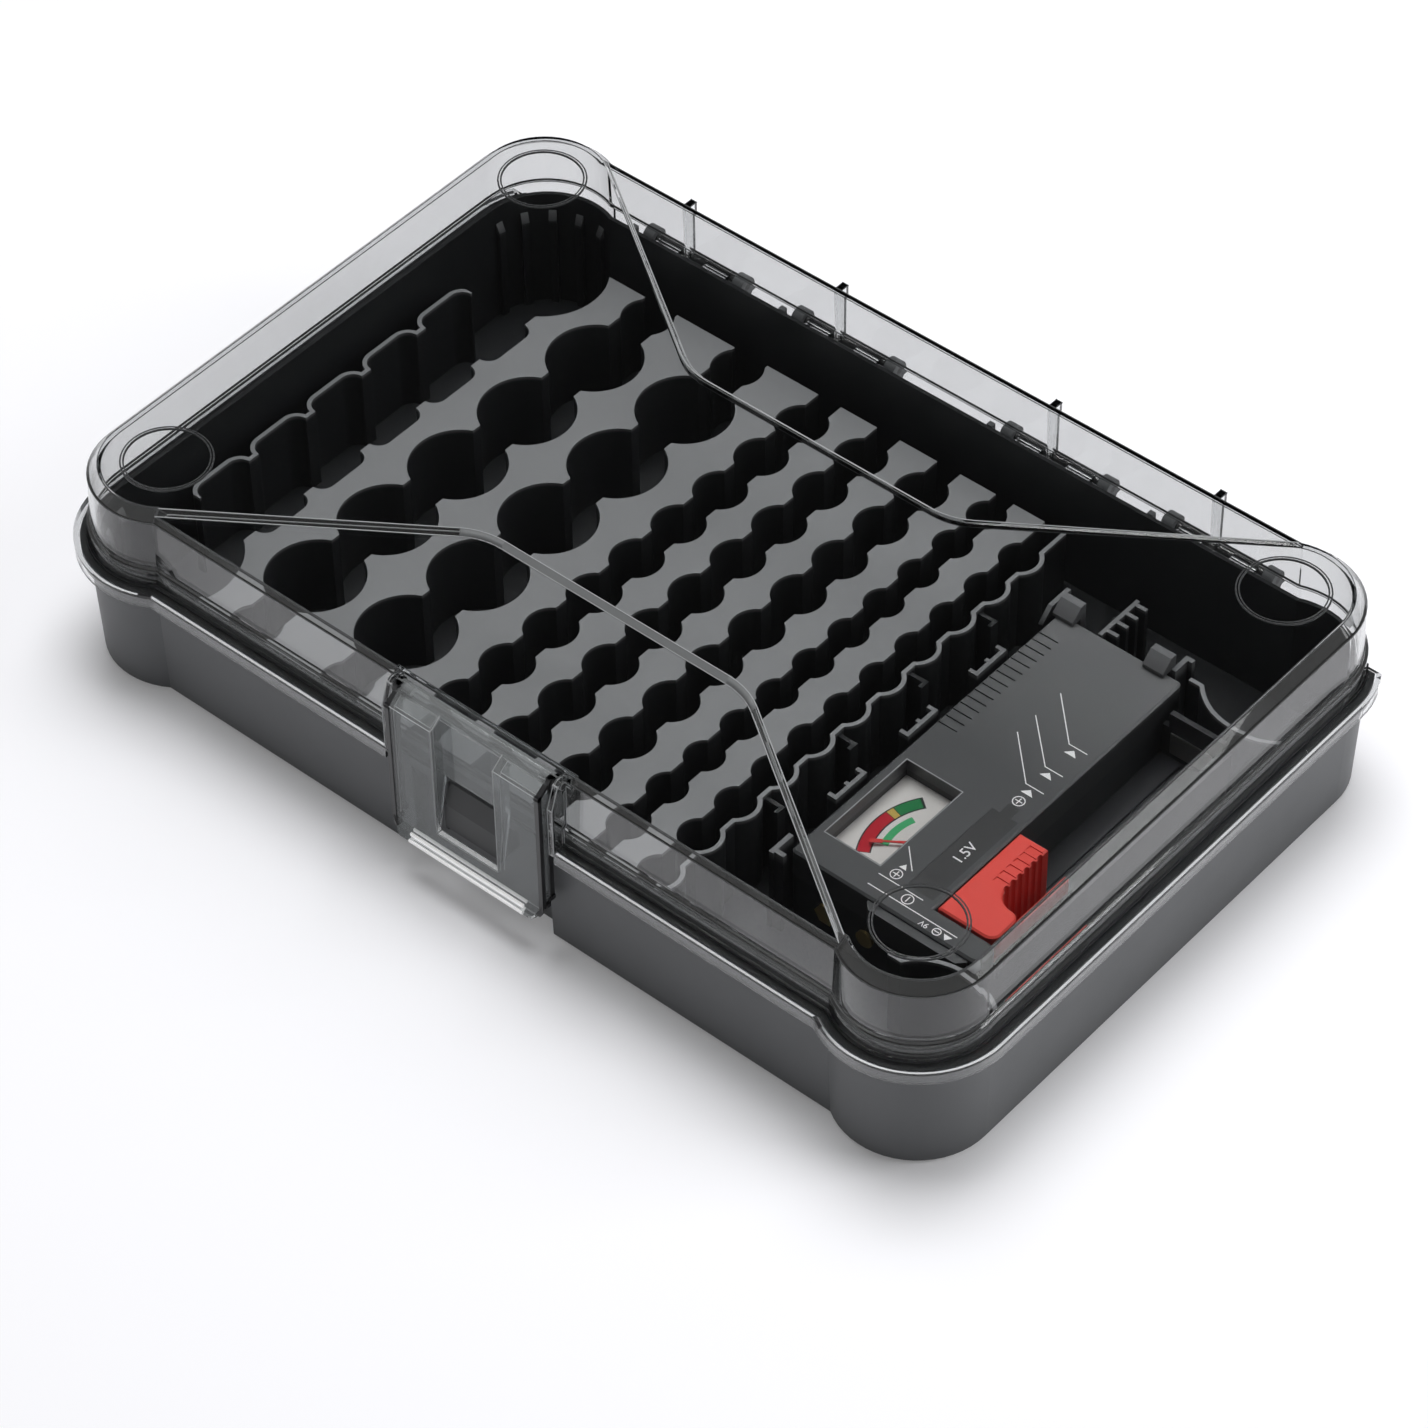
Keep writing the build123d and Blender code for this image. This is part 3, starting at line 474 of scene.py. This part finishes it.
# painted shade lines on the lid's edges and rings, painted highlights on its cheeks and bends, painted shadow
# where the skirt meets the flange
creaseLines("lid_shell", onEdge, lidEdges["wide"], "lidEdges", lineFinishes["shade"], "lid")
creaseLines("lid_shell", onRing, lidRings["wide"], "lidRings", lineFinishes["shade"], "lid")
creaseLines("lid_shell", onCheek, lidCheeks["wide"], "lidCheeks", lineFinishes["glint"], "lid")
creaseLines("lid_shell", onFoot, lidFoot["wide"], "lidFootLine", lineFinishes["black"], "lid")
creaseLines("lid_shell", onBend, lidBend["wide"], "lidBendLines", lineFinishes["glint"], "lid")
slopeBand("lidBends", lidBend)
print("lid creases done")

latchLines = {
    "wide": 0.20,
    "sideWide": 1.3,
    "side": 24.6,
    "front": -95,
    "catchWide": 0.9,
    "catchSide": 8.8,
    "lipZ": 15.6,
    "lipWide": 0.8,
    "lipReach": 19,  # the highlight ends short of the rounded corners
    "lipHalf": 22,
    "lipColor": (0.92, 0.92, 0.92),
    "lipGlow": 0.3,
}


def onLatchFace(at):
    return at.z > latchLines["lipZ"] and at.y < latchLines["front"] and abs(at.x) < latchLines["side"]


def onLatchSide(at):
    return at.z > latchLines["lipZ"] and abs(at.x) > latchLines["side"]


def onCatchSide(at):
    return abs(at.x) > latchLines["catchSide"]


def onLatchLip(at):
    return at.z < latchLines["lipZ"] and at.y < latchLines["front"] and abs(at.x) < latchLines["lipHalf"]


def lipGlint(values):
    # painted highlight: a pale line on the latch's lip that glows a little, though it is no lamp
    mat = smoothPlastic("lipGlint", values["lipColor"], rough=0.2, vary=0.02)
    shader = mat.node_tree.nodes["Principled BSDF"]
    shader.inputs["Emission Color"].default_value = (1, 1, 1, 1)
    shader.inputs["Emission Strength"].default_value = values["lipGlow"]
    return mat


# painted highlights on the latch's face and lip, painted shadow along its sides and the catch's sides
creaseLines("latch", onLatchFace, latchLines["wide"], "latchEdges", lineFinishes["glint"], "latch")
creaseLines("latch", onLatchSide, latchLines["sideWide"], "latchSides", lineFinishes["black"], "latch")
creaseLines("latch_catch", onCatchSide, latchLines["catchWide"], "catchSides", lineFinishes["black"], "case")
creaseLines("latch", onLatchLip, latchLines["lipWide"], "latchLip", lipGlint(latchLines), "latch",
            latchLines["lipReach"])
print("latch creases done")


def inkFilm(bm, faces, film):
    # flat faces become a thin film of ink
    bmesh.ops.recalc_face_normals(bm, faces=faces)
    out = bmesh.ops.extrude_face_region(bm, geom=faces)
    moved = [g for g in out["geom"] if isinstance(g, bmesh.types.BMVert)]
    bmesh.ops.translate(bm, verts=moved, vec=(0, 0, film))


def stampLine(bm, points, width, z, film):
    for start, end in zip(points, points[1:]):
        a, b = Vector((*start, z)) * mm, Vector((*end, z)) * mm
        turn = (b - a).to_track_quat("X", "Z").to_matrix().to_4x4()
        size = Matrix.Diagonal(((b - a).length + width * mm, width * mm, film * mm, 1))
        lift = Vector((0, 0, film * mm / 2))
        bmesh.ops.create_cube(bm, size=1, matrix=Matrix.Translation((a + b) / 2 + lift) @ turn @ size)


def stampArc(bm, centre, radii, degrees, z, film):
    middle = Vector((*centre, z)) * mm
    low, high = (math.radians(d) for d in degrees)
    side = Vector((-math.cos(low), math.sin(low), 0))  # arcs lie on the -X side of their centre
    verts = [bm.verts.new(middle + side * r * mm) for r in radii]
    edge = bm.edges.new(verts)
    steps = max(6, int((degrees[1] - degrees[0]) / 3))
    before = set(bm.faces)
    bmesh.ops.spin(bm, geom=[*verts, edge], cent=middle, axis=(0, 0, -1), angle=high - low, steps=steps,
                   use_merge=degrees == (0, 360))
    inkFilm(bm, [f for f in bm.faces if f not in before], film * mm)


def stampWedge(bm, tip, base, half, z, film):
    # a solid arrow head that points along Y
    verts = [bm.verts.new(Vector((x, y, z)) * mm)
             for x, y in ((tip[0], tip[1]), (tip[0] - half, base), (tip[0] + half, base))]
    inkFilm(bm, [bm.faces.new(verts)], film * mm)


def stampNumber(bm, text, place, height, degrees, z, film):
    data = bpy.data.curves.new("number", "FONT")
    data.body = text
    data.size = height / 0.7 * mm
    data.extrude = film * mm / 2
    data.align_x = data.align_y = "CENTER"
    letters = bpy.data.objects.new("number", data)
    bpy.context.scene.collection.objects.link(letters)
    mesh = bpy.data.meshes.new_from_object(letters.evaluated_get(bpy.context.evaluated_depsgraph_get()))
    mesh.transform(Matrix.Translation(Vector((*place, z + film / 2)) * mm)
                   @ Matrix.Rotation(math.radians(degrees), 4, "Z"))
    bm.from_mesh(mesh)
    bpy.data.objects.remove(letters)
    bpy.data.meshes.remove(mesh)


printing = {  # in mm, on the tester's cover
    "frame": [(69.4, -40.5), (87.6, -40.5), (87.6, -7.5), (69.4, -7.5), (69.4, -40.5)],
    "frameColor": (0.30, 0.31, 0.315),
    "ink": (0.88, 0.885, 0.89),
    "line": 0.28,
    "film": 0.05,
    "z": 28.4,
    "lines": [
        [(85.2, 35.9), (97.9, 23.1), (103.6, 23.1)],
        [(85.1, 25.6), (98.1, 12.9), (103.6, 12.9)],
        [(85.2, 17.9), (98.0, 5.1), (103.6, 5.1)],
        [(89.0, -30.9), (94.7, -36.7)],
        [(89.0, -42.7), (102.9, -42.7)],
        [(89.0, -47.0), (117.2, -47.0)],
    ],
    "arrows": [((100.4, 22.0), 20.1, 1.85), ((100.4, 11.9), 10.0, 1.85), ((100.4, 4.1), 2.2, 1.85),
               ((92.4, -36.0), -37.7, 1.1), ((115.3, -49.7), -48.0, 1.3)],
    "plus": [((100.4, -0.9), 1.75), ((92.4, -40.1), 1.7)],
    "minus": [((99.9, -44.9), 1.7, 90), ((112.2, -48.7), 1.25, 0)],
    "numbers": [("9V", (108.2, -48.75), 1.7, 180, 28.4), ("1.5V", (101.1, -23.5), 3.0, 90, 28.3)],
}


def buildMarks(values):
    bm = bmesh.new()
    line, film, z = values["line"], values["film"], values["z"]
    for points in values["lines"]:
        stampLine(bm, points, line, z, film)
    for tip, base, half in values["arrows"]:
        stampWedge(bm, tip, base, half, z, film)
    for (x, y), r in values["plus"]:
        stampArc(bm, (x, y), (r - line, r), (0, 360), z, film)
        stampLine(bm, [(x - r * 0.55, y), (x + r * 0.55, y)], line, z, film)
        stampLine(bm, [(x, y - r * 0.55), (x, y + r * 0.55)], line, z, film)
    for (x, y), r, degrees in values["minus"]:
        stampArc(bm, (x, y), (r - line, r), (0, 360), z, film)
        dx, dy = (r * 0.5 * f(math.radians(degrees)) for f in (math.cos, math.sin))
        stampLine(bm, [(x - dx, y - dy), (x + dx, y + dy)], line, z, film)
    for text, place, height, degrees, level in values["numbers"]:
        stampNumber(bm, text, place, height, degrees, level, film)
    finishPiece(bm, "testerMarks", smoothPlastic("whiteInk", values["ink"], rough=0.6, vary=0.05), "case")


def buildMeterFrame(values):
    bm = bmesh.new()
    stampLine(bm, values["frame"], values["line"], values["z"], values["film"])
    finishPiece(bm, "meterFrame", smoothPlastic("framePlastic", values["frameColor"], rough=0.4), "case")


dial = {
    "centre": (96.0, -24.7),
    "z": 22.0,
    "film": 0.04,
    "bands": {
        "dialBlack": ((0.010, 0.010, 0.012), [((19.1, 23.1), (-30.5, 36.5))]),
        "dialRed": ((0.42, 0.010, 0.022), [((19.5, 22.7), (-30.2, 9.3))]),
        "dialYellow": ((0.55, 0.40, 0.10), [((19.5, 22.7), (9.9, 15.2))]),
        "dialGreen": ((0.006, 0.16, 0.045), [((19.5, 22.7), (15.8, 34.6))]),
        "dialPaleGreen": ((0.05, 0.36, 0.14), [((15.5, 17.6), (-19.0, 22.0))]),
    },
}


def buildDial(values):
    for level, (name, (color, arcs)) in enumerate(values["bands"].items()):
        bm = bmesh.new()
        film = values["film"] * (1.5 if level else 1)  # the colours stand proud of the black
        for radii, degrees in arcs:
            stampArc(bm, values["centre"], radii, degrees, values["z"], film)
        finishPiece(bm, name, smoothPlastic(name + "Ink", color, rough=0.6, vary=0.1), "case")


buildMarks(printing)
buildMeterFrame(printing)
buildDial(dial)
print("printing done")


studio = {
    "floorHalf": 3.0,
    "floorColor": (0.82, 0.82, 0.85),
    "floorGlow": 0.15,
    "ambient": 0.08,
    "sky": 0.6,
    "flag": (-0.456, 0.524, 0.719),  # a black flag hangs where the lid's top would mirror the sky
    "flagged": 0.02,
    "flagEdge": (0.35, 0.85),
    "lamps": {
        "topLamp": ((-0.20, 0.30, 1.7), 1.1, 30),
        "sideLamp": ((1.2, 0.8, 0.9), 0.8, 9),
    },
    "aim": (0, 0, 0.03),
}


def whiteRays(tree):
    # 1 for the camera, for gloss and through clear parts
    light = addNode(tree, "ShaderNodeLightPath")
    seen = calc(tree, "MAXIMUM", light.outputs["Is Camera Ray"], light.outputs["Is Glossy Ray"])
    return calc(tree, "MAXIMUM", seen, light.outputs["Is Transmission Ray"])


def buildFloor(values):
    mat, tree, shader = newMaterial("studioFloor")
    shader.inputs["Base Color"].default_value = (*values["floorColor"], 1)
    shader.inputs["Roughness"].default_value = 0.9
    emit = addNode(tree, "ShaderNodeEmission")
    tree.links.new(calc(tree, "MULTIPLY", whiteRays(tree), values["floorGlow"]), emit.inputs["Strength"])
    add = addNode(tree, "ShaderNodeAddShader")
    tree.links.new(shader.outputs[0], add.inputs[0])
    tree.links.new(emit.outputs[0], add.inputs[1])
    tree.links.new(add.outputs[0], tree.nodes["Material Output"].inputs["Surface"])
    mesh = bpy.data.meshes.new("studioFloor")
    bm = bmesh.new()
    bmesh.ops.create_grid(bm, x_segments=1, y_segments=1, size=values["floorHalf"])
    bm.to_mesh(mesh)
    bm.free()
    mesh.materials.append(mat)
    floor = bpy.data.objects.new("studioFloor", mesh)
    bpy.context.scene.collection.objects.link(floor)


def softBox(name, place, size, power, aim):
    data = bpy.data.lights.new(name, "AREA")
    data.shape = "SQUARE"
    data.size = size
    data.energy = power
    lamp = bpy.data.objects.new(name, data)
    lamp.visible_glossy = False  # no mirror image of the lamp in the lid
    bpy.context.scene.collection.objects.link(lamp)
    lamp.location = place
    lamp.rotation_euler = (Vector(aim) - Vector(place)).to_track_quat("-Z", "Y").to_euler()


def buildWorld(values):
    # white to the camera; for gloss a pale sky with one dark flag, so the lid stays clear
    world = bpy.data.worlds.new("studioWorld")
    bpy.context.scene.world = world
    world.use_nodes = True
    tree = world.node_tree
    back = tree.nodes["Background"]
    back.inputs["Color"].default_value = (1, 1, 1, 1)
    place = addNode(tree, "ShaderNodeTexCoord")
    aim = addNode(tree, "ShaderNodeVectorMath", operation="DOT_PRODUCT")
    aim.inputs[1].default_value = values["flag"]
    tree.links.new(place.outputs["Generated"], aim.inputs[0])
    height = addNode(tree, "ShaderNodeMapRange", interpolation_type="SMOOTHSTEP")
    height.inputs["From Min"].default_value, height.inputs["From Max"].default_value = values["flagEdge"]
    height.inputs["To Min"].default_value = values["sky"]
    height.inputs["To Max"].default_value = values["flagged"]
    tree.links.new(aim.outputs["Value"], height.inputs["Value"])
    light = addNode(tree, "ShaderNodeLightPath")
    diffuse = addNode(tree, "ShaderNodeMix", data_type="FLOAT")
    diffuse.inputs[3].default_value = values["ambient"]
    tree.links.new(light.outputs["Is Diffuse Ray"], diffuse.inputs[0])
    tree.links.new(height.outputs["Result"], diffuse.inputs[2])
    strength = addNode(tree, "ShaderNodeMix", data_type="FLOAT")
    strength.inputs[3].default_value = 1.0
    tree.links.new(light.outputs["Is Camera Ray"], strength.inputs[0])
    tree.links.new(diffuse.outputs[0], strength.inputs[2])
    tree.links.new(strength.outputs[0], back.inputs["Strength"])


buildFloor(studio)
buildWorld(studio)
for name, (place, size, power) in studio["lamps"].items():
    softBox(name, place, size, power, studio["aim"])
bpy.context.scene.view_settings.view_transform = "Standard"
print("studio ready")
